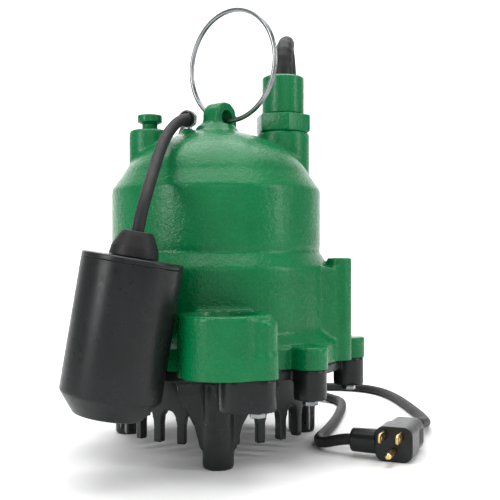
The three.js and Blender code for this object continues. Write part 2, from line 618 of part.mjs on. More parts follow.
const FLOAT_FLOOR_ROUTE = [[72, 176, 31], [81.1, 183.7, 24], [94.7, 188, 15.5], [108.9, 186.1, 8.6],
  [120.9, 178.4, 5.2], [128.6, 166.4, 4.3], [130.6, 152, 4.3], [127.5, 130, 4.3], [120, 100, 4.3],
  [110.5, 67, 4.3], [99.5, 34, 4.3], [89, 6, 4.3], [81.9, -12, 4.3], [80.4, -25, 4.6], [82.1, -36.6, 6.2],
  [88, -46.8, 9.6], [97.3, -54.1, 12.2], [102.3, -56.7, 12.2]];
const POWER_RISE_ROUTE = [[66.8, 61.4, 333.9], [69, 70.5, 330.2], [70.7, 77.3, 324.8], [72, 82.5, 317.8],
  [72.8, 85.8, 309.6], [73.2, 87.2, 300.5], [73.3, 88.6, 289], [73.2, 90.8, 270], [72.8, 93, 245],
  [72, 95, 215], [70.6, 97, 180], [68.6, 99, 145], [65.6, 101.5, 110], [61.6, 105, 78], [57, 109, 50],
  [51, 113.5, 27], [43.5, 118, 11.5]];
const POWER_FLOOR_ROUTE = [[42.5, 239.5, 4.3], [62, 242.5, 4.3], [90, 247, 4.3], [120, 250, 4.3],
  [148, 248, 4.3], [170, 237, 4.3], [184.5, 214, 4.3], [190.5, 180, 4.3], [191.5, 145, 4.3],
  [190.5, 105, 4.3], [188.5, 70, 4.5], [183.5, 38, 6], [176, 16.6, 9.6], [168.2, 2.1, 12.1],
  [164.5, -5, 12.2]];
const RELIEF_CURVE = curveThrough([[56.7, 21, 286.5], [56.7, 21, 293.5], [56.7, 21, 300.8],
  [57, 22.2, 309.6], [57.8, 25.5, 317.8], [59.1, 30.7, 324.8], [60.8, 37.5, 330.2], [62.8, 45.4, 333.6],
  [64.9, 54, 334.8], [66.4, 59.7, 334.3]]);

function addCords() {
  const reach = new THREE.SphereGeometry(CLAMP_REACH, 16, 12).translate(CLAMP.x, CLAMP.y, CLAMP.z);
  const clear = new THREE.SphereGeometry(CLAMP_REACH + GAP, 16, 12).translate(CLAMP.x, CLAMP.y, CLAMP.z);
  addMesh(pump, "tether_cord", cut(solid(cordGeometry(TETHER_ROUTE)), solid(clear)), cordRubber);
  // The stretch through the eye is rounded to the ball that the tether turns round.
  const rise = solid(cordGeometry(FLOAT_RISE_ROUTE));
  const front = turnTo(rod(30, -60, 0), CLAMP_AXIS, CLAMP);
  const behind = cut(rise, front);
  addMesh(pump, "float_cord_rise", joined(behind, rise.intersect(solid(reach))), cordRubber);
  addMesh(pump, "float_cord_floor", cordGeometry(FLOAT_FLOOR_ROUTE), cordRubber);
  addMesh(pump, "power_cord_rise", cordGeometry(POWER_RISE_ROUTE), cordRubber);
  addMesh(pump, "power_cord_floor", cordGeometry(POWER_FLOOR_ROUTE), cordRubber);
  for (const [name, z] of [["power_cord_coil", COIL_FLOOR_GAP], ["float_cord_coil", 0.5 + COIL_HIGH]]) {
    const half = COIL_WIDE / 2;
    const coil = tubeRing(COIL_MEAN - half, COIL_MEAN + half, z, z + COIL_HIGH - 0.1);
    addMesh(pump, name, coil.translate([COIL_X, COIL_Y, 0]), cordRubber);
  }
  const length = RELIEF_CURVE.getLength();
  const profile = [[0, 0], [8.5, 0]];
  for (let i = 1; i <= 10; i += 1) profile.push([8.5 - 2.6 * (i / 10) ** 1.5, (length * i) / 10]);
  profile.push([0, length]);
  addMesh(pump, "power_strain_relief", bentAlong(profile, RELIEF_CURVE), sealRubber);
}

// ---- Plugs ----------------------------------------------------------------------------------------
const plugs = new THREE.Group();
plugs.position.set(PLUGS_X, PLUGS_Y, 0);
plugs.rotation.z = rad(PLUGS_TURN);
pump.add(plugs);

function bladeBox(x, y0, y1, grow) {
  return block(x - 0.75 - grow, x + 0.75 + grow, y0, y1, BLADE_Z - 3.2 - grow, BLADE_Z + 3.2 + grow);
}

function groundPin(y0, y1, grow) {
  const pin = new THREE.CylinderGeometry(2.4 + grow, 2.4 + grow, y1 - y0, TINY);
  return solid(pin.translate(0, (y0 + y1) / 2, GROUND_Z));
}

// The three contacts of a plug whose face is at y = face, embedded four millimetres in it.
function addContacts(name, face) {
  const [from, to] = [face - 17.5, face + 3.7];
  addMesh(plugs, `${name}_blade_1`, bladeBox(-BLADE_SPACING / 2, from, to, 0), brass);
  addMesh(plugs, `${name}_blade_2`, bladeBox(BLADE_SPACING / 2, from, to, 0), brass);
  addMesh(plugs, `${name}_ground_pin`, groundPin(from - 1, to, 0), brass);
}

function contactHoles(y0, y1) {
  return [bladeBox(-BLADE_SPACING / 2, y0, y1, GAP), bladeBox(BLADE_SPACING / 2, y0, y1, GAP),
    groundPin(y0, y1, GAP)];
}

// A plug body: a rounded block standing on the floor, its outline in local x and z.
function plugBlock(half, y0, y1, z0, z1, corner) {
  const outline = roundedRectangle(-half, half, z0, z1, corner);
  const settings = { depth: y1 - y0, bevelEnabled: false, curveSegments: 4 };
  return solid(new THREE.ExtrudeGeometry(outline, settings).rotateX(Math.PI / 2).translate(0, y1, 0));
}

function addPlugs() {
  const barrel = turned([[0, 0], [9.4, 0], [8.9, 21.5], [7.6, 22.5], [0, 22.5]], SMALL)
    .rotate([0, -90, 0]).translate([-PLUG_HALF + 2, 11, 12.2]);
  const body = joined(plugBlock(PLUG_HALF, 0, PLUG_DEEP, 0, PLUG_HIGH, 7), barrel);
  const cordHole = turned([[0, 0], [5.6, 0], [5.6, 4.6], [0, 4.6]], TINY)
    .rotate([0, -90, 0]).translate([-PLUG_HALF + 2 - 19, 11, 12.2]);
  const ownHoles = contactHoles(-EPS, 4);
  const socketHoles = contactHoles(PLUG_DEEP - 18.5, PLUG_DEEP + EPS);
  addMesh(plugs, "float_plug", cut(body, cordHole, ...ownHoles, ...socketHoles), blackPlastic);
  addContacts("float_plug", 0);
  const face = PLUG_DEEP + GAP;
  const grip = plugBlock(12.5, face, face + 24, 0.5, 25, 7);
  const tail = turned([[0, 0], [10.5, 0], [9, 12], [6.2, 38], [0, 38]], SMALL).rotate([-90, 0, 0])
    .translate([0, face + 23, 12.2]);
  addMesh(plugs, "pump_plug", cut(joined(grip, tail), ...contactHoles(face - EPS, face + 4)), blackPlastic);
  addContacts("pump_plug", face);
}

addMesh(pump, "suction_base", suctionBase(), blackPlastic);
addMesh(pump, "inlet_strainer", inletStrainer(), blackPlastic);
addMesh(pump, "volute_casing", voluteCasing(), castGreen);
addMesh(pump, "motor_housing", motorHousing(), castGreen);
addFasteners();
addSeals();
addFillPlug();
addGland();
addLiftingRing();
addCordEye();
addStator();
addRotor();
addBearings();
addImpeller();
addFloat();
addCords();
addPlugs();

export default group;
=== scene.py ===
"""Visual model of a submersible sump pump, built round its CAD frame. Shapes are in millimetres from the
motor shaft's axis, +Z up, and TO_ROW puts them into the row frame, in metres."""

import math

import bmesh
import bpy
import numpy as np
from mathutils import Matrix, Vector


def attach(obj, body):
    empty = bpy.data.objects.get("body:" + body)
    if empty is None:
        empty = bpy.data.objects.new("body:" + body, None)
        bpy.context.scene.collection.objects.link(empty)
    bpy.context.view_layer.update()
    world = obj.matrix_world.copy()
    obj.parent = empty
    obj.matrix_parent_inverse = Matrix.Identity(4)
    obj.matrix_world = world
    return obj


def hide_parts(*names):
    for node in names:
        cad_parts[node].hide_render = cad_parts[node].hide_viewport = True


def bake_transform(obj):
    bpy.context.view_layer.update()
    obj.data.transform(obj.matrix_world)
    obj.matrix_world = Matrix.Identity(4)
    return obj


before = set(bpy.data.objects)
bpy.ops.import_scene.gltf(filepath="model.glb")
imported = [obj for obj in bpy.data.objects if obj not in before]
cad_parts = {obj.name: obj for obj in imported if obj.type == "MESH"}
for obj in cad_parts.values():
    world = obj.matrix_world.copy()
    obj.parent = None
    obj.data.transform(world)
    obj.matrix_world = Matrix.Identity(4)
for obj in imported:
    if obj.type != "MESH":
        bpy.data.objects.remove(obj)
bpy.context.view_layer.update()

AXIS_Y = 17.35
TO_ROW = Matrix.Translation((0, AXIS_Y / 1000, 0)) @ Matrix.Scale(0.001, 4)


# ---- Camera: level, above the boss and a little to the left of the pump --------------------------
camera_data = bpy.data.cameras.new("camera")
camera_data.lens = 63.65
camera_data.sensor_width = 36
camera = bpy.data.objects.new("camera", camera_data)
camera.location = (-0.0353, -0.69625, 0.155)
camera.rotation_euler = (math.radians(90), 0, math.radians(-5))
bpy.context.scene.collection.objects.link(camera)
bpy.context.scene.camera = camera
bpy.context.scene.view_settings.view_transform = "Standard"


# ---- Shapes: each is (points, faces), closed, in millimetres --------------------------------------
def fillet(points, radius, closed=False, steps=5):
    """The outline with its corners rounded. radius is one number, or one for each point."""
    radii = radius if isinstance(radius, (list, tuple)) else [radius] * len(points)
    out = []
    for i, (x, y) in enumerate(points):
        ends = i in (0, len(points) - 1)
        if radii[i] <= 0 or (ends and not closed):
            out.append((x, y))
            continue
        here = np.array((x, y), float)
        before = np.array(points[i - 1], float) - here
        after = np.array(points[(i + 1) % len(points)], float) - here
        long_a, long_b = np.linalg.norm(before), np.linalg.norm(after)
        half = math.acos(np.clip(before @ after / (long_a * long_b), -1, 1)) / 2
        reach = min(radii[i] / math.tan(half), 0.48 * long_a, 0.48 * long_b)
        start, end = here + before / long_a * reach, here + after / long_b * reach
        for k in range(steps + 1):
            t = k / steps
            p = (1 - t) ** 2 * start + 2 * t * (1 - t) * here + t * t * end
            out.append((float(p[0]), float(p[1])))
    return out


def lathe(profile, segments=128, at=(0, 0), turn=0.0):
    """A profile of (radius, z) turned about Z. One that doesn't start and end on the axis closes itself."""
    points, rings = [], []
    for r, z in profile:
        if r < 1e-6:
            rings.append([len(points)])
            points.append((at[0], at[1], z))
            continue
        rings.append(list(range(len(points), len(points) + segments)))
        for i in range(segments):
            a = turn + 2 * math.pi * i / segments
            points.append((at[0] + r * math.cos(a), at[1] + r * math.sin(a), z))
    closed = len(rings[0]) > 1 or len(rings[-1]) > 1
    faces = []
    for a, b in zip(rings, rings[1:] + rings[:1] if closed else rings[1:]):
        for i in range(segments):
            j = (i + 1) % segments
            quad = [a[i % len(a)], a[j % len(a)], b[j % len(b)], b[i % len(b)]]
            kept = [v for k, v in enumerate(quad) if v not in quad[:k]]
            if len(kept) > 2:
                faces.append(kept)
    return points, faces


def rod(r, z0, z1, at=(0, 0), segments=64):
    return lathe([(0, z0), (r, z0), (r, z1), (0, z1)], segments, at)


def ring(inner, outer, z0, z1, segments=128):
    return lathe([(inner, z0), (outer, z0), (outer, z1), (inner, z1)], segments)


def prism(outline, z0, z1):
    """An outline in x and y, raised from z0 to z1."""
    n = len(outline)
    points = [(x, y, z) for z in (z0, z1) for x, y in outline]
    faces = [list(range(n))[::-1], list(range(n, 2 * n))]
    faces += [[i, (i + 1) % n, n + (i + 1) % n, n + i] for i in range(n)]
    return points, faces


def moved(shape, matrix):
    return [tuple(matrix @ Vector(p)) for p in shape[0]], shape[1]


def upright(outline, thickness, azimuth, radius=0.0):
    """An outline of (sideways, z), thick along the azimuth."""
    a = math.radians(azimuth)
    out, side = Vector((math.cos(a), math.sin(a), 0)), Vector((-math.sin(a), math.cos(a), 0))
    points, faces = prism(outline, -thickness / 2, thickness / 2)
    return [tuple(out * (radius + s) + side * u + Vector((0, 0, z))) for u, z, s in points], faces


def box(x0, x1, y0, y1, z0, z1):
    return prism([(x0, y0), (x1, y0), (x1, y1), (x0, y1)], z0, z1)


def arc(cx, cy, r, start, end, steps=16):
    angles = [math.radians(start + (end - start) * i / steps) for i in range(steps + 1)]
    return [(cx + r * math.cos(a), cy + r * math.sin(a)) for a in angles]


def rounded_rectangle(x0, x1, y0, y1, r):
    return (arc(x1 - r, y1 - r, r, 0, 90, 8) + arc(x0 + r, y1 - r, r, 90, 180, 8)
            + arc(x0 + r, y0 + r, r, 180, 270, 8) + arc(x1 - r, y0 + r, r, 270, 360, 8))


def on_circle(angle, radius):
    return radius * math.cos(math.radians(angle)), radius * math.sin(math.radians(angle))


def tube(line, radius, sides=16):
    """A round tube along a line. radius is a number, or a function of the share of the line's points."""
    line = np.array(line, float)
    tangents = np.gradient(line, axis=0)
    tangents /= np.linalg.norm(tangents, axis=1)[:, None]
    up = np.array((1.0, 0, 0)) if abs(tangents[0][0]) < 0.8 else np.array((0, 0, 1.0))
    points, faces = [], []
    for i, (p, t) in enumerate(zip(line, tangents)):
        up = up - t * (up @ t)
        up /= np.linalg.norm(up)
        across = np.cross(t, up)
        r = radius(i / (len(line) - 1)) if callable(radius) else radius
        for k in range(sides):
            a = 2 * math.pi * k / sides
            points.append(tuple(p + r * (math.cos(a) * up + math.sin(a) * across)))
    for i in range(len(line) - 1):
        for k in range(sides):
            a, b = i * sides + k, i * sides + (k + 1) % sides
            faces.append([a, b, b + sides, a + sides])
    last = (len(line) - 1) * sides
    faces += [list(range(sides))[::-1], list(range(last, last + sides))]
    return points, faces


# ---- Objects ----------------------------------------------------------------------------------------
def mesh_object(name, shapes, place=None):
    """One mesh object of several closed shapes, in the row frame."""
    matrix = TO_ROW @ place if place else TO_ROW
    bm = bmesh.new()
    for points, faces in shapes:
        verts = [bm.verts.new(matrix @ Vector(p)) for p in points]
        for f in faces:
            bm.faces.new([verts[i] for i in f])
    bmesh.ops.recalc_face_normals(bm, faces=bm.faces)
    mesh = bpy.data.meshes.new(name)
    bm.to_mesh(mesh)
    bm.free()
    obj = bpy.data.objects.new(name, mesh)
    bpy.context.scene.collection.objects.link(obj)
    return obj


def settle(obj):
    """Applies the object's modifiers."""
    bpy.context.view_layer.update()
    made = bpy.data.meshes.new_from_object(obj.evaluated_get(bpy.context.evaluated_depsgraph_get()))
    obj.modifiers.clear()
    obj.data = made


def merge(obj, voxel, rounds):
    """Makes one body of the object's shapes and softens every corner."""
    remesh = obj.modifiers.new("merge", "REMESH")
    remesh.mode = "VOXEL"
    remesh.voxel_size = voxel / 1000
    soften = obj.modifiers.new("soften", "SMOOTH")
    soften.factor = 0.5
    soften.iterations = rounds
    settle(obj)


def cast(name, shapes, voxel, rounds, cutters=(), place=None):
    """A moulded or cast piece: the shapes merged and softened, then cut by machined shapes."""
    obj = mesh_object(name, shapes, place)
    merge(obj, voxel, rounds)
    machine(obj, cutters, place)
    return obj


def machine(obj, cutters, place=None):
    """Cuts groups of shapes out of obj. The shapes in one group don't touch each other."""
    for group in cutters:
        cutter = mesh_object("cutter", group, place)
        cutting = obj.modifiers.new("cut", "BOOLEAN")
        cutting.operation = "DIFFERENCE"
        cutting.solver = "MANIFOLD"
        cutting.object = cutter
        settle(obj)
        bpy.data.objects.remove(cutter)


def bevelled(obj, width, segments=3, angle=35):
    edge = obj.modifiers.new("edges", "BEVEL")
    edge.width = width / 1000
    edge.segments = segments
    edge.limit_method = "ANGLE"
    edge.angle_limit = math.radians(angle)
    settle(obj)
    return obj


def complete(obj, body, slot, nodes=(), angle=40):
    """Gives a finished mesh its shading, material and body, and hides the CAD nodes that it stands for."""
    obj.data.shade_smooth()
    obj.data.set_sharp_from_angle(angle=math.radians(angle))
    obj.data.materials.clear()
    obj.data.materials.append(FINISHES[slot])
    if body:
        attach(obj, body)
    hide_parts(*nodes)
    return obj


# ---- Materials ----------------------------------------------------------------------------------------
class Nodes:
    """A material's node tree, with short ways to add what the finishes need."""

    def __init__(self, name):
        self.material = bpy.data.materials.new(name)
        self.material.use_nodes = True
        self.tree = self.material.node_tree
        self.shader = self.tree.nodes["Principled BSDF"]
        self.place = self.tree.nodes.new("ShaderNodeTexCoord").outputs["Object"]

    def stretched(self, scale):
        node = self.tree.nodes.new("ShaderNodeMapping")
        node.inputs["Scale"].default_value = scale
        self.tree.links.new(self.place, node.inputs["Vector"])
        return node.outputs["Vector"]

    def noise(self, scale, detail=4.0, roughness=0.55, vector=None):
        node = self.tree.nodes.new("ShaderNodeTexNoise")
        node.inputs["Scale"].default_value = scale
        node.inputs["Detail"].default_value = detail
        node.inputs["Roughness"].default_value = roughness
        self.tree.links.new(vector or self.place, node.inputs["Vector"])
        return node.outputs["Fac"]

    def cells(self, scale):
        node = self.tree.nodes.new("ShaderNodeTexVoronoi")
        node.inputs["Scale"].default_value = scale
        self.tree.links.new(self.place, node.inputs["Vector"])
        return node.outputs["Distance"]

    def bands(self, scale, distortion):
        node = self.tree.nodes.new("ShaderNodeTexWave")
        node.bands_direction = "Z"
        node.inputs["Scale"].default_value = scale
        node.inputs["Distortion"].default_value = distortion
        self.tree.links.new(self.place, node.inputs["Vector"])
        return node.outputs["Fac"]

    def ranged(self, value, low, high, to_low, to_high):
        node = self.tree.nodes.new("ShaderNodeMapRange")
        for key, number in zip(("From Min", "From Max", "To Min", "To Max"), (low, high, to_low, to_high)):
            node.inputs[key].default_value = number
        self.tree.links.new(value, node.inputs["Value"])
        return node.outputs["Result"]

    def colour(self, factor, dark, light):
        node = self.tree.nodes.new("ShaderNodeMix")
        node.data_type = "RGBA"
        node.inputs["A"].default_value = (*dark, 1)
        node.inputs["B"].default_value = (*light, 1)
        self.tree.links.new(factor, node.inputs["Factor"])
        self.tree.links.new(node.outputs["Result"], self.shader.inputs["Base Color"])

    def bump(self, height, strength, depth):
        """Adds a layer of relief, depth in millimetres, over the layers before it."""
        node = self.tree.nodes.new("ShaderNodeBump")
        node.inputs["Strength"].default_value = strength
        node.inputs["Distance"].default_value = depth / 1000
        self.tree.links.new(height, node.inputs["Height"])
        under = self.shader.inputs["Normal"].links
        if under:
            self.tree.links.new(under[0].from_socket, node.inputs["Normal"])
        self.tree.links.new(node.outputs["Normal"], self.shader.inputs["Normal"])

    def rough(self, value):
        self.tree.links.new(value, self.shader.inputs["Roughness"])

    def fixed(self, **values):
        for key, value in values.items():
            self.shader.inputs[key.replace("_", " ")].default_value = value


def painted_casting():
    n = Nodes("green enamel on cast iron")
    tone = n.noise(22, 3)
    grain = n.noise(520, 5, 0.65)
    n.colour(n.ranged(tone, 0.3, 0.7, 0, 1), (0.0, 0.125, 0.036), (0.0, 0.160, 0.048))
    n.rough(n.ranged(grain, 0.3, 0.7, 0.16, 0.34))
    n.bump(n.noise(85, 2, 0.5), 0.4, 1.0)
    n.bump(n.noise(300, 4, 0.6), 0.8, 0.6)
    n.bump(n.cells(700), 0.35, 0.25)
    n.fixed(Specular_IOR_Level=0.24, Coat_Weight=0.06, Coat_Roughness=0.1)
    return n.material


def plastic(name, dark, light, low, high, relief=0.12):
    n = Nodes(name)
    n.colour(n.ranged(n.noise(35, 3), 0.3, 0.7, 0, 1), dark, light)
    n.rough(n.ranged(n.noise(260, 4), 0.3, 0.7, low, high))
    n.bump(n.noise(60, 2), 0.25, 0.35)
    n.bump(n.noise(900, 3), 0.25, relief)
    n.fixed(Specular_IOR_Level=0.3)
    return n.material


def rubber(name, dark, light, low=0.48, high=0.66):
    n = Nodes(name)
    n.colour(n.ranged(n.noise(60, 4), 0.3, 0.7, 0, 1), dark, light)
    n.rough(n.ranged(n.noise(420, 4), 0.3, 0.7, low, high))
    n.bump(n.noise(140, 3), 0.4, 0.3)
    n.bump(n.noise(1300, 4, 0.7), 0.5, 0.1)
    n.fixed(Specular_IOR_Level=0.3)
    return n.material


def metal(name, dark, light, low, high, stretch=(1, 1, 9), scratch=0.05):
    n = Nodes(name)
    drawn = n.noise(240, 6, 0.7, n.stretched(stretch))
    n.colour(n.ranged(n.noise(45, 3), 0.3, 0.7, 0, 1), dark, light)
    n.rough(n.ranged(drawn, 0.3, 0.7, low, high))
    n.bump(drawn, 0.3, scratch)
    n.fixed(Metallic=1.0)
    return n.material


def layered(name, dark, light, pitch, depth, metallic):
    """A stack of laminations, or a winding's turns: fine bands with noise between them."""
    n = Nodes(name)
    lines = n.bands(pitch, 0.6)
    n.colour(lines, dark, light)
    n.rough(n.ranged(n.noise(500, 3), 0.3, 0.7, 0.3, 0.5))
    n.bump(lines, 0.8, depth)
    n.fixed(Metallic=metallic)
    return n.material


# Each has a darker and a lighter colour, and most have a lowest and a highest roughness.
FINISHES = {
    "cast_green": painted_casting(),
    "black_plastic": plastic("moulded black plastic", (0.005, 0.0062, 0.0066), (0.009, 0.0105, 0.011),
                             0.26, 0.38),
    "cord_rubber": rubber("cord jacket", (0.008, 0.0078, 0.0088), (0.014, 0.0134, 0.015)),
    "seal_rubber": rubber("moulded rubber", (0.005, 0.005, 0.0056), (0.0095, 0.0095, 0.0105), 0.42, 0.6),
    "stainless": metal("bright stainless", (0.20, 0.21, 0.215), (0.32, 0.33, 0.335), 0.16, 0.32),
    "steel": metal("machined steel", (0.42, 0.43, 0.45), (0.56, 0.57, 0.6), 0.24, 0.4),
    "brass": metal("stamped brass", (0.60, 0.40, 0.15), (0.78, 0.57, 0.26), 0.2, 0.36),
    "copper": layered("enamelled copper wire", (0.28, 0.09, 0.035), (0.72, 0.30, 0.13), 700, 0.35, 0.9),
    "lamination": layered("stacked laminations", (0.10, 0.105, 0.11), (0.42, 0.43, 0.45), 900, 0.2, 1.0),
    "ceramic": plastic("lapped ceramic", (0.70, 0.67, 0.60), (0.80, 0.78, 0.72), 0.16, 0.26, 0.03),
    "aluminium": metal("die-cast aluminium", (0.55, 0.56, 0.58), (0.72, 0.73, 0.75), 0.28, 0.46, (1, 1, 1)),
    "dark_plastic": plastic("glass-filled plastic", (0.045, 0.05, 0.054), (0.075, 0.08, 0.086),
                            0.4, 0.6, 0.16),
}


# ---- Cords --------------------------------------------------------------------------------------------
CORD = 8.5
COIL_X, COIL_Y = 9.8, 180
COIL_OUT, COIL_IN = 53.25, 44.75  # the two rows of turns
CLAMP = Vector((-23.2, -10.2, 259))
CLAMP_AXIS = Vector((0.22, 0.965, 0.13)).normalized()

TETHER_ROUTE = [(-62.1, -119.5, 145.4), (-60.2, -119.5, 157.3), (-58.2, -119.5, 169.1), (-55.2, -114.2, 184),
                (-52, -102, 197.6), (-48.6, -85.1, 211.6), (-44.3, -65.4, 228), (-38.6, -47.5, 242.6),
                (-31.6, -33, 252.9), (-25.4, -19.9, 257.7), (-23.2, -10.2, 259)]
FLOAT_RISE_ROUTE = [(-23.2, -10.2, 259), (-21.7, -3.5, 259.9), (-21.5, 4.5, 260.2), (-22.6, 14, 258.7),
                    (-25, 25, 255.4), (-28, 40, 248.4), (-32, 55, 239.4), (-35.5, 71.5, 225.5),
                    (-38, 82, 204), (-39, 87, 180), (-40.5, 92.5, 160), (-41.5, 96, 140), (-41.5, 98.5, 118),
                    (-38.5, 103.5, 99), (-30.5, 111.5, 85.5), (-18, 119.5, 76), (-4, 125, 69.5)]
FLOAT_FLOOR_ROUTE = [(72, 176, 31), (81.1, 183.7, 24), (94.7, 188, 15.5), (108.9, 186.1, 8.6),
                     (120.9, 178.4, 5.2), (128.6, 166.4, 4.3), (130.6, 152, 4.3), (127.5, 130, 4.3),
                     (120, 100, 4.3), (110.5, 67, 4.3), (99.5, 34, 4.3), (89, 6, 4.3), (81.9, -12, 4.3),
                     (80.4, -25, 4.6), (82.1, -36.6, 6.2), (88, -46.8, 9.6), (97.3, -54.1, 12.2),
                     (102.3, -56.7, 12.2)]
POWER_RISE_ROUTE = [(56.7, 21, 286.5), (56.7, 21, 293.5), (56.7, 21, 300.8), (57, 22.2, 309.6),
                    (57.8, 25.5, 317.8), (59.1, 30.7, 324.8), (60.8, 37.5, 330.2), (62.8, 45.4, 333.6),
                    (64.9, 54, 334.8), (66.8, 61.4, 333.9), (69, 70.5, 330.2), (70.7, 77.3, 324.8),
                    (72, 82.5, 317.8), (72.8, 85.8, 309.6), (73.2, 87.2, 300.5), (73.3, 88.6, 289),
                    (73.2, 90.8, 270), (72.8, 93, 245), (72, 95, 215), (70.6, 97, 180), (68.6, 99, 145),
                    (66, 101.5, 115), (62, 104.5, 88), (56, 107.5, 65), (48, 110.5, 45), (37.5, 114, 28.5),
                    (24.5, 118.6, 18), (10, 124.3, 13.8)]
POWER_FLOOR_ROUTE = [(42.5, 239.5, 4.3), (62, 242.5, 4.3), (90, 247, 4.3), (120, 250, 4.3), (148, 248, 4.3),
                     (170, 237, 4.3), (184.5, 214, 4.3), (190.5, 180, 4.3), (191.5, 145, 4.3),
                     (190.5, 105, 4.3), (188.5, 70, 4.5), (183.5, 38, 6), (176, 16.6, 9.6),
                     (168.2, 2.1, 12.1), (164.5, -5, 12.2)]
RELIEF_LENGTH = 72.5


def through(points, per=10):
    """A centripetal Catmull-Rom curve through the points."""
    p = np.array(points, float)
    p = np.vstack([2 * p[0] - p[1], p, 2 * p[-1] - p[-2]])
    out = []
    for i in range(1, len(p) - 2):
        a, b, c = (math.sqrt(np.linalg.norm(p[k + 1] - p[k])) for k in (i - 1, i, i + 1))
        leave = (p[i] - p[i - 1]) / a - (p[i + 1] - p[i - 1]) / (a + b) + (p[i + 1] - p[i]) / b
        arrive = (p[i + 1] - p[i]) / b - (p[i + 2] - p[i]) / (b + c) + (p[i + 2] - p[i + 1]) / c
        for t in np.arange(per) / per:
            h = (2 * t**3 - 3 * t**2 + 1, (t**3 - 2 * t**2 + t) * b, 3 * t**2 - 2 * t**3, (t**3 - t**2) * b)
            out.append(h[0] * p[i] + h[1] * leave + h[2] * p[i + 1] + h[3] * arrive)
    out.append(p[-2])
    return np.array(out)


def spaced(line, step):
    """The line with its points the same distance apart."""
    along = np.concatenate([[0], np.cumsum(np.linalg.norm(np.diff(line, axis=0), axis=1))])
    marks = np.linspace(0, along[-1], max(2, round(along[-1] / step) + 1))
    return np.stack([np.interp(marks, along, line[:, k]) for k in range(3)], axis=1)


def eased(line, rounds, step=3.5):
    """The line respaced and smoothed, with its ends and its overall shape kept: each round draws every
    point towards its neighbours' middle, and then moves it back by a little more."""
    inwards, back = 0.5, -0.52
    line = spaced(np.array(line, float), step)
    for _ in range(rounds):
        for share in (inwards, back):
            inner = (line[:-2] + line[2:]) / 2 - line[1:-1]
            line[1:-1] += share * inner
    return spaced(line, step)


def wound(slots, sweep, sense, start=-90.0):
    """Turns of a coil from the start angle: slots holds (radius, z) for each turn, sense is +1 or -1.
    The cord passes to its next slot in the last part of each turn."""
    margin, step, passing = 12, 6.0, 0.14
    out = []
    for degrees in np.arange(margin, sweep - margin, step):
        turn, share = divmod(degrees / 360, 1)
        now = np.array(slots[int(turn)], float)
        after = np.array(slots[min(int(turn) + 1, len(slots) - 1)], float)
        t = np.clip((share - (1 - passing)) / passing, 0, 1)
        radius, z = now + (after - now) * t * t * (3 - 2 * t)
        a = math.radians(start + sense * degrees)
        out.append((COIL_X + radius * math.cos(a), COIL_Y + radius * math.sin(a), z))
    return out


FLOAT_LAYERS = [39.15 + CORD * i for i in range(4)]
POWER_LAYERS = [4.45 + CORD * i for i in range(4)]
FLOAT_SLOTS = [(COIL_OUT, FLOAT_LAYERS[3]), (COIL_IN, FLOAT_LAYERS[3]), (COIL_IN, FLOAT_LAYERS[2]),
               (COIL_OUT, FLOAT_LAYERS[2]), (COIL_OUT, FLOAT_LAYERS[1]), (COIL_IN, FLOAT_LAYERS[1]),
               (COIL_IN, FLOAT_LAYERS[0]), (COIL_OUT, FLOAT_LAYERS[0])]
POWER_SLOTS = [(COIL_OUT, POWER_LAYERS[1]), (COIL_OUT, POWER_LAYERS[2]), (COIL_OUT, POWER_LAYERS[3]),
               (COIL_IN, POWER_LAYERS[3]), (COIL_IN, POWER_LAYERS[2]), (COIL_IN, POWER_LAYERS[1]),
               (COIL_IN, POWER_LAYERS[0]), (COIL_OUT, POWER_LAYERS[0])]

EASING = 12
float_coil = wound(FLOAT_SLOTS, 7 * 360 + 55, 1)
power_coil = wound(POWER_SLOTS, 7 * 360 + 170, -1)
tether_line = eased(through(TETHER_ROUTE[1:]), EASING)
float_line = eased(through(FLOAT_RISE_ROUTE + float_coil + FLOAT_FLOOR_ROUTE), EASING)
power_line = eased(through(POWER_RISE_ROUTE + power_coil + POWER_FLOOR_ROUTE), EASING)

tether = mesh_object("tether", [tube(tether_line, CORD / 2)])
complete(tether, None, "cord_rubber", ["tether_cord"])
float_lead = mesh_object("float_lead", [tube(float_line, CORD / 2)])
complete(float_lead, "pump", "cord_rubber", ["float_cord_rise", "float_cord_coil", "float_cord_floor"])
power_lead = mesh_object("power_lead", [tube(power_line, CORD / 2)])
complete(power_lead, "pump", "cord_rubber", ["power_cord_rise", "power_cord_coil", "power_cord_floor"])

RELIEF_STEP = 1.5
relief_line = spaced(power_line, RELIEF_STEP)[: round(RELIEF_LENGTH / RELIEF_STEP) + 1]


def relief_radius(share):
    """A taper from the gland to the cord, with moulded rings that grow shallower towards the cord."""
    rings, depth = 9, 0.5
    taper = 8.3 - 2.5 * share**1.5
    lead = min(1.0, max(0.0, (share - 0.22) / 0.05))
    return taper - depth * lead * (0.5 + 0.5 * math.cos(share * 2 * math.pi * rings)) * (1 - 0.6 * share)


relief = mesh_object("cord_relief", [tube(relief_line, relief_radius, 40)])
complete(relief, "pump", "seal_rubber", ["power_strain_relief"])


# ---- Castings --------------------------------------------------------------------------------------
GAP = 0.3  # between pieces that touch
CASE_BOTTOM = 70
FLANGE_RADIUS, FLANGE_TOP = 100, 86
WALL_RADIUS = 91
PARTING = 131
COLLAR_TOP = 142
BODY_RADIUS = 83.5
DOME_RADIUS, DOME_START, DOME_TOP = 79, 197, 251
BORE_RADIUS = 77.5
CHAMBER_TOP = 94
SEAL_PLATE_TOP = 102
CASE_BORE = 80
BEARING_POCKET = 17.8

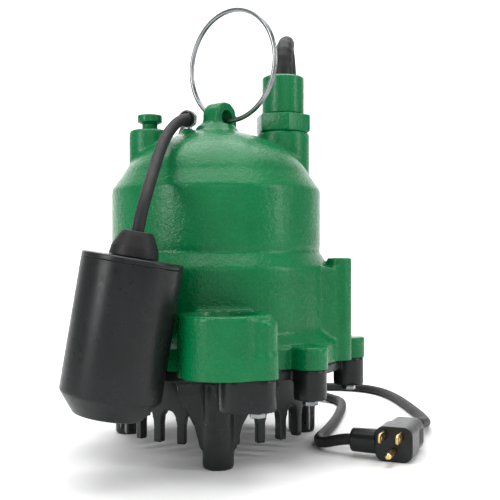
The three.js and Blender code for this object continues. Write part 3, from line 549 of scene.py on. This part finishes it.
COLUMN_ANGLES = (-20, 100, 220)
COLUMN_RADIUS, COLUMN_TOP = 9.5, 149
COLUMNS = [on_circle(angle, 100) for angle in COLUMN_ANGLES]
SIDE_COLUMN = (21, -129)
SIDE_COLUMN_RADIUS, SIDE_COLUMN_TOP = 13.5, 108
SIDE_LUG_RADIUS = 14.3
LUGS = [on_circle(angle, 106) for angle in (-53.5, -8, 36, 90, 144, 188, 218)]
LUG_RADIUS = 13
FOOT_SCREWS = [SIDE_COLUMN, *LUGS]
SCREW_HOLE = 3

BOSS_AT = (0, -116)
BOSS_RADIUS, BOSS_TOP, BOSS_BORE = 32.5, 112, 22.5

TOWER_FOOT = 190
FILL_AT, FILL_RADIUS, FILL_TOP = (-53.5, 0), 16.5, 251
GLAND_AT, GLAND_RADIUS, GLAND_TOP = (56.7, 21), 22, 252.5
LUG_AZIMUTH = -45
LUG_X = 2.5
LUG_THICK, LUG_HALF, LUG_CENTRE_Z = 16, 12, 262
RING_HOLE_Z, RING_HOLE_RADIUS = 261.2, 6.2
CLAMP_HOLE = 2.7

# The castings are made longer, from or to these heights, and then cut off at their sharp joint faces.
HOUSING_START = 124
VOLUTE_START, VOLUTE_END = 64, 138
CAST_VOXEL, CAST_ROUNDS = 1.35, 6


def dome(radius, start, top, from_angle=0.0, to_angle=90.0, steps=28):
    out = []
    for i in range(steps + 1):
        a = math.radians(from_angle + (to_angle - from_angle) * i / steps)
        out.append((radius * math.cos(a), start + (top - start) * math.sin(a)))
    return out


def spiral():
    """The volute's outline, from its tongue round to the discharge."""
    tongue, sweep, narrow, wide, steps = -60, 330, 56, 84, 60
    return [on_circle(tongue + sweep * i / steps, narrow + (wide - narrow) * i / steps)
            for i in range(steps + 1)]


def along_x(r, length, segments=48):
    """A rod along X, centred on the origin."""
    return moved(rod(r, -length / 2, length / 2, segments=segments), Matrix.Rotation(math.pi / 2, 4, "Y"))


def column_pad(angle, z0, z1):
    """Widens the wall out to a screw column."""
    corners = ((-17, 87), (-5.5, 102), (5.5, 102), (17, 87))
    return prism([on_circle(angle + turn, radius) for turn, radius in corners], z0, z1)


def tower(at, radius, top, edge, segments):
    profile = [(0, TOWER_FOOT), (radius, TOWER_FOOT), (radius, top), (0, top)]
    return lathe(fillet(profile, [0, 0, edge, 0]), segments, at)


def lifting_lug():
    flank = [(25, 240), (22, 247), (15.5, 249), (12.6, 254)]
    outline = ([(-25, 240), *flank, *arc(0, LUG_CENTRE_Z, LUG_HALF, 0, 180, 32)]
               + [(-u, z) for u, z in flank[:0:-1]])
    return moved(upright(outline, LUG_THICK, LUG_AZIMUTH), Matrix.Translation((LUG_X, 0, 0)))


def housing():
    # The wall turns in to the dome over a rounded edge.
    edge = arc(BODY_RADIUS - 1.5, 201.7, 1.5, 0, 36, 5)
    wall = [(0, HOUSING_START), (WALL_RADIUS, HOUSING_START), (WALL_RADIUS, COLLAR_TOP), (82.5, 153.9),
            (BODY_RADIUS, 157), *edge]
    outer = wall + dome(DOME_RADIUS, DOME_START, DOME_TOP, 18.9)[:-1] + [(0, DOME_TOP)]
    flare = [(0, 240), (27, 240), (24, 246), (19, 250), (14, 256), (0, 256)]
    shapes = [lathe(outer, 160), *[rod(COLUMN_RADIUS, HOUSING_START, COLUMN_TOP, at) for at in COLUMNS],
              *[column_pad(angle, HOUSING_START, COLLAR_TOP) for angle in COLUMN_ANGLES],
              tower(FILL_AT, FILL_RADIUS, FILL_TOP, 3.5, 72),
              tower(GLAND_AT, GLAND_RADIUS, GLAND_TOP, 1.5, 96),
              lathe(flare, 72), lifting_lug(), rod(6, 240, 250.6, CLAMP[:2], 32)]
    pocket = [(24, 213.8), (BEARING_POCKET, 213.8), (BEARING_POCKET, 226.6), (10, 226.6), (10, 231), (0, 231)]
    cavity = [(0, 120), (BORE_RADIUS, 120)] + dome(BORE_RADIUS, DOME_START, 243, 0, 71.95) + pocket
    ring_hole = moved(along_x(RING_HOLE_RADIUS, 60), Matrix.Translation((LUG_X, 0, RING_HOLE_Z))
                      @ Matrix.Rotation(math.radians(LUG_AZIMUTH), 4, "Z"))
    holes = [rod(5, 200, 252, FILL_AT, 32), rod(9, 200, 256, GLAND_AT, 48), ring_hole,
             rod(CLAMP_HOLE, 239, 252, CLAMP[:2], 24),
             *[rod(SCREW_HOLE, PARTING - 1, COLLAR_TOP + 1, at, 24) for at in COLUMNS]]
    counterbores = [rod(6.6, COLLAR_TOP, 154, at, 32) for at in COLUMNS]
    cutters = [[box(-130, 130, -130, 130, 110, PARTING)], [lathe(cavity, 72)], holes, counterbores]
    return cast("housing_casting", shapes, CAST_VOXEL, CAST_ROUNDS, cutters)


def volute():
    low, high = VOLUTE_START, VOLUTE_END
    top = PARTING - 0.05
    body = [(0, low), (97, low), (97, 87), (WALL_RADIUS, 94), (WALL_RADIUS, high), (0, high)]
    boss = fillet([(0, low), (BOSS_RADIUS, low), (BOSS_RADIUS, BOSS_TOP), (0, BOSS_TOP)], [0, 0, 1.2, 0])
    shapes = [lathe(body, 160), rod(FLANGE_RADIUS, low, FLANGE_TOP, segments=160),
              rod(SIDE_LUG_RADIUS, low, FLANGE_TOP, SIDE_COLUMN, 56),
              *[rod(LUG_RADIUS, low, FLANGE_TOP, at, 48) for at in LUGS],
              *[rod(COLUMN_RADIUS, low, high, at, 48) for at in COLUMNS],
              *[column_pad(angle, low, high) for angle in COLUMN_ANGLES],
              lathe(boss, 96, BOSS_AT), box(-29, 29, BOSS_AT[1], -70, low, BOSS_TOP - 4),
              rod(SIDE_COLUMN_RADIUS, low, SIDE_COLUMN_TOP, SIDE_COLUMN, 56)]
    # The motor's side of the casting is open, with the lower bearing's hub standing up in the middle.
    hub = [(BEARING_POCKET, 106), (BEARING_POCKET, 118), (26, 118), (26, SEAL_PLATE_TOP)]
    motor_side = [(0, 106), *hub, (CASE_BORE, SEAL_PLATE_TOP), (CASE_BORE, 140), (0, 140)]
    port = [(0, 76), (BOSS_BORE, 76), (BOSS_BORE, 110), (24.2, 113), (0, 113)]
    cutters = [[box(-140, 140, -160, 140, 50, CASE_BOTTOM), box(-130, 130, -130, 130, top, 150)],
               [prism(spiral(), CASE_BOTTOM - 1, CHAMBER_TOP)], [lathe(motor_side, 96)],
               [rod(9.2, CHAMBER_TOP - 1, 107, segments=48)],
               [rod(14.8, CHAMBER_TOP - 1, 100.3, segments=48)],
               [box(-17, 17, BOSS_AT[1], -50, 76, CHAMBER_TOP)],
               [lathe(port, 96, BOSS_AT)],
               [ring(81.2, 84.8, PARTING - 2.8, top + 1)],
               [rod(SCREW_HOLE, CASE_BOTTOM - 1, 84, at, 24) for at in FOOT_SCREWS],
               [rod(SCREW_HOLE, 112, top + 1, at, 24) for at in COLUMNS]]
    return cast("volute_casting", shapes, CAST_VOXEL, CAST_ROUNDS, cutters)


# ---- Base and strainer -----------------------------------------------------------------------------
LEG_ANGLES = (-92, 28, 148)
LEG_CIRCLE = 85
BASE_RADIUS = 99.5
PLATE_BOTTOM, BASE_TOP = 62, 69.7
BASE_BOSS_RADIUS, BASE_BOSS_BOTTOM = 12, 48
EYE_RADIUS = 28
STRAINER_IN, STRAINER_OUT, STRAINER_BOTTOM = 70, 77, 14
SLOT_COUNT = 24


def base():
    rib = [(-13, 14), (13, 14), (17, 30), (28, 50), (30, 63), (-30, 63), (-28, 50), (-17, 30)]
    leg = [(0, 0), (10.3, 0), (11.3, 1.5), (12, 63), (0, 63)]
    front = rounded_rectangle(-5, 33.5, -141, -92, 12)
    shapes = [rod(BASE_RADIUS, PLATE_BOTTOM, BASE_TOP, segments=160),
              rod(EYE_RADIUS + 5, PLATE_BOTTOM - 6, PLATE_BOTTOM + 1, segments=96),
              *[rod(BASE_BOSS_RADIUS, BASE_BOSS_BOTTOM, BASE_TOP, at, 48) for at in LUGS],
              prism(front, BASE_BOSS_BOTTOM, BASE_TOP)]
    for angle in LEG_ANGLES:
        shapes += [lathe(leg, 56, on_circle(angle, LEG_CIRCLE)), upright(rib, 5, angle, LEG_CIRCLE + 1)]
    past = 71
    cutters = [[rod(EYE_RADIUS, 55, past, segments=96), ring(90, 93, BASE_TOP - 2, past),
                *[rod(SCREW_HOLE, BASE_BOSS_BOTTOM - 1, past, at, 24) for at in FOOT_SCREWS]]]
    return cast("leg_base", shapes, 1.2, 3, cutters)


def strainer():
    side = [(6.6, 13), (6.6, 27), (5.6, 33.5), (3.4, 36.8)]
    arch = [(-6.6, 13), *side, (0, 38)] + [(-u, z) for u, z in side[:0:-1]]
    middle = (STRAINER_IN + STRAINER_OUT) / 2
    slots = [upright(arch, 16, 360 / SLOT_COUNT * i, middle) for i in range(SLOT_COUNT)]
    legs = [rod(12.4, 0, 63, on_circle(angle, LEG_CIRCLE), 48) for angle in LEG_ANGLES]
    wall = ring(STRAINER_IN, STRAINER_OUT, STRAINER_BOTTOM, PLATE_BOTTOM - GAP, 192)
    skirt = mesh_object("inlet_skirt", [wall])
    machine(skirt, [slots, legs])
    merge(skirt, 1.0, 3)
    return skirt


complete(housing(), "pump", "cast_green", ["motor_housing"])
complete(volute(), "pump", "cast_green", ["volute_casing"])
complete(base(), "pump", "black_plastic", ["suction_base"])
complete(strainer(), "pump", "black_plastic", ["inlet_strainer"])


# ---- Screws, fill plug, gland, lifting ring, cord eye ----------------------------------------------
def hexagon(across, z0, z1, chamfer, at=(0, 0), turn=0.0):
    """A hexagonal prism with its ends chamfered."""
    r = across / 2 / math.cos(math.pi / 6)
    slope = chamfer * 0.6
    profile = [(0, z0), (r - chamfer, z0), (r, z0 + slope), (r, z1 - slope), (r - chamfer, z1), (0, z1)]
    return lathe(profile, 6, at, math.radians(turn - 90))


def screw(name, node, length, place):
    """A washer-faced hexagon screw with its thread, head below z = 0."""
    thread = [(0, 0.2)]
    for i in range(length):
        thread += [(2.35, 0.2 + i), (2.7, 0.7 + i)]
    thread += [(1.9, length), (0, length)]
    washer = fillet([(0, -0.7), (5.4, -0.7), (5.4, 0), (0, 0)], 0.2)
    crown = [(0, -4.25), (3.2, -4.25), (3.9, -3.9), (0, -3.9)]
    shapes = [hexagon(10, -4, -0.6, 0.5), lathe(washer, 48), lathe(crown, 32), lathe(thread, 24)]
    obj = bevelled(mesh_object(name, shapes, place), 0.18, 2, 40)
    return complete(obj, "pump", "stainless", [node])


def at_turn(x, y, z, degrees):
    return Matrix.Translation((x, y, z)) @ Matrix.Rotation(math.radians(degrees), 4, "Z")


for index, (x, y) in enumerate(FOOT_SCREWS):
    screw(f"foot_screw_{index + 1}", f"base_screw_{index + 1}", 34,
          at_turn(x, y, BASE_BOSS_BOTTOM - GAP, 17 * index))
for index, (x, y) in enumerate(COLUMNS):
    screw(f"collar_screw_{index + 1}", f"flange_screw_{index + 1}", 28,
          at_turn(x, y, COLLAR_TOP + GAP, 23 * index) @ Matrix.Rotation(math.pi, 4, "X"))


def fill_plug():
    outline = [(0, 239), (4.7, 239), (4.7, 251.3), (6.2, 251.3), (6.2, 255.5), (9.8, 257), (9.8, 263),
               (0, 263)]
    profile = fillet(outline, [0, 0.3, 0, 0.4, 1.2, 1.0, 1.4, 0])
    obj = mesh_object("filler_screw", [lathe(profile, 80, FILL_AT)])
    slot = moved(box(-11, 11, -1, 1, 260.4, 264), at_turn(*FILL_AT, 0, math.degrees(0.5)))
    machine(obj, [[slot]])
    return complete(obj, "pump", "cast_green", ["fill_plug"], 30)


def gland():
    """The hexagon with its hidden threaded ends, and the nut that grips the cord."""
    hex_top, nut_top = 267.5, 299.5
    body = mesh_object("gland_hexagon", [hexagon(40.8, GLAND_TOP + 0.05, hex_top, 1.4, GLAND_AT, 5)])
    machine(body, [[rod(4.9, 240, 289.5, GLAND_AT, 32)]])
    bevelled(body, 0.5, 3, 25)
    thread = [(4.9, 238.5), (8.7, 238.5), (8.7, 252.6), (4.9, 252.6)]
    spigot = [(4.9, 267.4), (12, 267.4), (12, 285.3), (4.9, 285.3)]
    neck = mesh_object("gland_neck", [lathe(thread, 48, GLAND_AT), lathe(spigot, 48, GLAND_AT)])
    complete(body, "pump", "cast_green", ["gland_body"], 30)
    complete(neck, "pump", "cast_green")
    outline = [(12.3, hex_top + 0.1), (16.8, hex_top + 0.1), (17.5, 268.8), (17.5, 298), (15.6, nut_top),
               (9.2, nut_top), (9.2, 285.9), (12.3, 285.9)]
    nut_profile = fillet(outline, [0, 0.4, 0.5, 0.8, 0.8, 0.6, 0, 0], closed=True)
    nut = mesh_object("gland_compression_nut", [lathe(nut_profile, 128, GLAND_AT)])
    return complete(nut, "pump", "cast_green", ["gland_nut"], 30)


RING_RADIUS, RING_WIRE = 44, 2
RING_LOW_Z = 258.3  # the wire's centre at the ring's lowest point
RING_FORWARD = 13  # from the lug to the ring's lowest point


def lift_ring():
    """The lifting ring, standing up through the lug's hole."""
    wire = [(RING_RADIUS + RING_WIRE * math.cos(a), RING_WIRE * math.sin(a))
            for a in np.linspace(0, 2 * math.pi, 25)[:-1]]
    x, y = on_circle(LUG_AZIMUTH, RING_FORWARD)
    place = (Matrix.Translation((LUG_X + x, y, RING_LOW_Z + RING_RADIUS))
             @ Matrix.Rotation(math.radians(LUG_AZIMUTH), 4, "Z") @ Matrix.Rotation(math.pi / 2, 4, "X"))
    hoop = mesh_object("lift_ring", [lathe(wire, 160)], place)
    return complete(hoop, "ring", "stainless", ["lifting_ring"])


def cord_eye():
    """A band round the cord, the screw that holds it to the dome, and the band's rubber lining."""
    at_clamp = Matrix.Translation(CLAMP) @ CLAMP_AXIS.to_track_quat("Z", "Y").to_matrix().to_4x4()
    band_profile = fillet([(5.8, -4.8), (7, -4.8), (7, 4.8), (5.8, 4.8)], 0.45, closed=True)
    band = mesh_object("cord_band", [lathe(band_profile, 96)], at_clamp)
    shank = mesh_object("cord_band_screw", [rod(2.4, 241, 253.1, CLAMP[:2], 32),
                                            hexagon(7, 250.7, 252.2, 0.4, CLAMP[:2])])
    complete(band, "pump", "stainless", ["cord_eye_bolt"])
    complete(bevelled(shank, 0.15, 2), "pump", "stainless")
    lining_profile = fillet([(4.6, -6.4), (5.6, -6.4), (5.6, 6.4), (4.6, 6.4)], 0.3, closed=True)
    lining = mesh_object("cord_band_lining", [lathe(lining_profile, 64)], at_clamp)
    complete(lining, "pump", "seal_rubber", ["cord_eye_sleeve"])
    return band, lining


fill_plug()
gland()
lift_ring()
eye, sleeve = cord_eye()


# ---- Float, in its own frame, with z = 0 at the lower rim -------------------------------------------
FLOAT_PLACE = Matrix.Translation((-76.5, -119.5, 58.6)) @ Matrix.Rotation(math.radians(9.4), 4, "Y")
FLOAT_RADIUS, FLOAT_BORE, FLOAT_WALL = 34.2, 4.8, 2.5
SHELL_TOP, LID_BOTTOM = 88.7, 88.9


def float_parts():
    r, inner, bore = FLOAT_RADIUS, FLOAT_RADIUS - FLOAT_WALL, FLOAT_BORE
    shell = fillet([(0, -14), (23, -14), (r, 0), (r, SHELL_TOP), (inner, SHELL_TOP), (inner, 1),
                    (22, FLOAT_WALL - 14), (0, FLOAT_WALL - 14)], [0, 2.5, 4, 0.5, 0, 1, 1, 0], steps=8)
    body = mesh_object("float_body", [lathe(shell, 160)], FLOAT_PLACE)
    complete(body, "float", "black_plastic", ["float_shell"], 30)
    lid = fillet([(bore, LID_BOTTOM), (r, LID_BOTTOM), (r, 92.45), (17, 92.7), (bore, 93)],
                 [0, 0.4, 2.4, 3, 0], closed=True, steps=8)
    cap = mesh_object("float_lid", [lathe(lid, 160)], FLOAT_PLACE)
    complete(cap, "float", "black_plastic", ["float_cap"], 30)
    gaiter = fillet([(bore, 93.05), (16.8, 93.05), (15.8, 99.5), (12, 107.5), (10.4, 110.2), (bore, 110.4)],
                    [0, 0.6, 3.5, 3, 1.2, 0], closed=True, steps=6)
    cover = mesh_object("float_gaiter", [lathe(gaiter, 96)], FLOAT_PLACE)
    return complete(cover, "float", "seal_rubber", ["float_boot"], 30)


boot = float_parts()

# ---- Plugs, in their own frame: the contacts point along -Y ------------------------------------------
PLUGS_PLACE = Matrix.Translation((125, -81, 0)) @ Matrix.Rotation(math.radians(-27.4), 4, "Z")
BLADES_X = (-6.35, 6.35)
BLADE_Z = 20
PIN_Z = 8.1
CORD_Z = 12.2
FLOAT_PLUG_DEEP = 24
PUMP_PLUG_FACE = FLOAT_PLUG_DEEP + GAP
ALONG_MINUS_X = Matrix.Rotation(-math.pi / 2, 4, "Y")
UPRIGHT_BLADE = Matrix(((0, 0, 1, 0), (0, 1, 0, 0), (1, 0, 0, 0), (0, 0, 0, 1)))


def plug_block(half, y0, y1, z0, z1, corner):
    """A rounded block, its outline in x and z, from y0 to y1."""
    outline = rounded_rectangle(-half, half, z0, z1, corner)
    return moved(prism(outline, -y1, -y0), Matrix.Rotation(math.pi / 2, 4, "X"))


def along_y(shape, at):
    return moved(shape, Matrix.Translation(at) @ Matrix.Rotation(-math.pi / 2, 4, "X"))


def contact_holes(y0, y1):
    holes = [box(x - 1.05, x + 1.05, y0, y1, BLADE_Z - 3.5, BLADE_Z + 3.5) for x in BLADES_X]
    return [*holes, along_y(rod(2.7, y0, y1, segments=32), (0, 0, PIN_Z))]


def contacts(name, node, face):
    """Two blades with rounded tips and holes, and a round ground pin."""
    made = []
    start, end = face - 17.5, face + 3.7
    tip = [(start, -2.0), (start + 1.6, -3.2), (end, -3.2), (end, 3.2), (start + 1.6, 3.2), (start, 2.0)]
    outline = [(BLADE_Z + z, y) for y, z in tip]
    for i, x in enumerate(BLADES_X):
        flat = moved(prism(outline, x - 0.75, x + 0.75), UPRIGHT_BLADE)
        blade = mesh_object(f"{name}_blade_{i + 1}", [flat], PLUGS_PLACE)
        hole = moved(along_x(1.5, 4, 24), Matrix.Translation((x, start + 4.2, BLADE_Z)))
        machine(blade, [[hole]], PLUGS_PLACE)
        made.append(complete(bevelled(blade, 0.2, 2), "pump", "brass", [f"{node}_blade_{i + 1}"]))
    pin = [(0, start - 1), (1.2, start - 0.9), (2.1, start), (2.4, start + 1.6), (2.4, end), (0, end)]
    ground = mesh_object(f"{name}_earth_pin", [along_y(lathe(pin, 40), (0, 0, PIN_Z))], PLUGS_PLACE)
    made.append(complete(ground, "pump", "brass", [f"{node}_ground_pin"]))
    return made


def piggyback():
    barrel = lathe(fillet([(0, 0), (9.4, 0), (8.9, 21.5), (7.6, 22.5), (0, 22.5)], [0, 0, 0.8, 0.5, 0]), 56)
    side = moved(barrel, Matrix.Translation((-12, 11, CORD_Z)) @ ALONG_MINUS_X)
    shapes = [plug_block(14, 0, FLOAT_PLUG_DEEP, 0.1, 26, 7), side]
    cord_hole = moved(rod(4.6, 0, 4, segments=40), Matrix.Translation((-31, 11, CORD_Z)) @ ALONG_MINUS_X)
    cutters = [[cord_hole, *contact_holes(-1, 4)], contact_holes(5.5, FLOAT_PLUG_DEEP + 1)]
    obj = cast("float_lead_plug", shapes, 0.7, 3, cutters, PLUGS_PLACE)
    return complete(obj, "pump", "black_plastic", ["float_plug"], 35)


def pump_plug():
    face = PUMP_PLUG_FACE
    rings = 6
    tail = [(0, 0), (10.5, 0), (9, 12)]
    for i in range(rings):
        at = 13.5 + i * 3.9
        size = 9 - 2.6 * (i + 0.5) / rings
        tail += [(size, at), (size - 1.0, at + 0.7), (size - 1.0, at + 1.9), (size, at + 2.6)]
    tail += [(6.2, 37.2), (5.8, 38), (0, 38)]
    grips = [box(-13.2, 13.2, face + 8 + 3 * i, face + 9.4 + 3 * i, 7.5, 18) for i in range(4)]
    shapes = [plug_block(12.5, face, face + 24, 0.5, 25, 7), along_y(lathe(tail, 56), (0, face + 23, CORD_Z)),
              *grips]
    obj = cast("power_lead_plug", shapes, 0.7, 3, [contact_holes(face - 1, face + 4)], PLUGS_PLACE)
    return complete(obj, "pump", "black_plastic", ["pump_plug"], 35)


float_contacts = [piggyback(), *contacts("float_lead_plug", "float_plug", 0)]
pump_contacts = [pump_plug(), *contacts("power_lead_plug", "pump_plug", PUMP_PLUG_FACE)]

# ---- Inner parts keep their CAD shapes ---------------------------------------------------------------
INNER = {
    "seal_rubber": ["base_seal_ring", "casing_seal_ring", "seal_head"],
    "ceramic": ["seal_seat"],
    "lamination": ["stator_core"],
    "copper": ["upper_winding", "lower_winding"],
    "dark_plastic": ["overload_protector", "impeller", "switch_tube", "micro_switch"],
    "aluminium": ["run_capacitor", "rotor_core"],
    "steel": ["motor_shaft", "lower_bearing_outer", "lower_bearing_inner", "upper_bearing_outer",
              "upper_bearing_inner", "switch_ball"],
    "stainless": ["seal_spring"],
}
for slot_name, node_names in INNER.items():
    for node_name in node_names:
        node = bpy.data.objects[node_name]
        node.data.materials.clear()
        node.data.materials.append(FINISHES[slot_name])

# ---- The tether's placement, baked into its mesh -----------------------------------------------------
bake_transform(tether)


# ---- Floor and light, in metres ----------------------------------------------------------------------
def floor():
    """A pale floor that curves up into a backdrop."""
    curve_start, curve_radius = 1.6, 0.8
    curve = [(curve_start + math.sin(a) * curve_radius, curve_radius - math.cos(a) * curve_radius)
             for a in np.linspace(0, math.pi / 2, 24)]
    profile = [(-3.0, 0.0), *curve, (curve_start + curve_radius, 4.0)]
    points = [(x, y, z) for x in (-4.0, 4.0) for y, z in profile]
    count = len(profile)
    mesh = bpy.data.meshes.new("floor")
    mesh.from_pydata(points, [], [(i, i + 1, count + i + 1, count + i) for i in range(count - 1)])
    obj = bpy.data.objects.new("floor", mesh)
    bpy.context.scene.collection.objects.link(obj)
    mesh.shade_smooth()
    n = Nodes("pale floor")
    n.colour(n.noise(3, 2), (0.88, 0.88, 0.88), (0.92, 0.92, 0.92))
    n.fixed(Roughness=0.9)
    mesh.materials.append(n.material)


def lamp(name, at, target, size, power):
    data = bpy.data.lights.new(name, "AREA")
    data.shape = "RECTANGLE"
    data.size, data.size_y = size
    data.energy = power
    obj = bpy.data.objects.new(name, data)
    obj.location = at
    obj.rotation_euler = (Vector(target) - Vector(at)).to_track_quat("-Z", "Y").to_euler()
    bpy.context.scene.collection.objects.link(obj)


floor()
lamp("left softbox", (-1.25, -0.85, 0.75), (0, 0, 0.14), (0.45, 1.1), 14)
lamp("right softbox", (1.3, -0.55, 0.7), (0, 0, 0.16), (0.25, 1.1), 7.5)
lamp("front fill", (0.15, -1.9, 0.9), (0, 0, 0.1), (1.6, 1.0), 6.5)
lamp("top softbox", (0, 0.1, 1.7), (0, 0, 0), (1.6, 1.6), 26)
lamp("backdrop light", (0, 0.9, 1.9), (0, 2.6, 0.7), (3.0, 0.6), 60)
world = bpy.data.worlds.new("world")
world.use_nodes = True
world.node_tree.nodes["Background"].inputs["Color"].default_value = (1, 1, 1, 1)
world.node_tree.nodes["Background"].inputs["Strength"].default_value = 0.38
bpy.context.scene.world = world
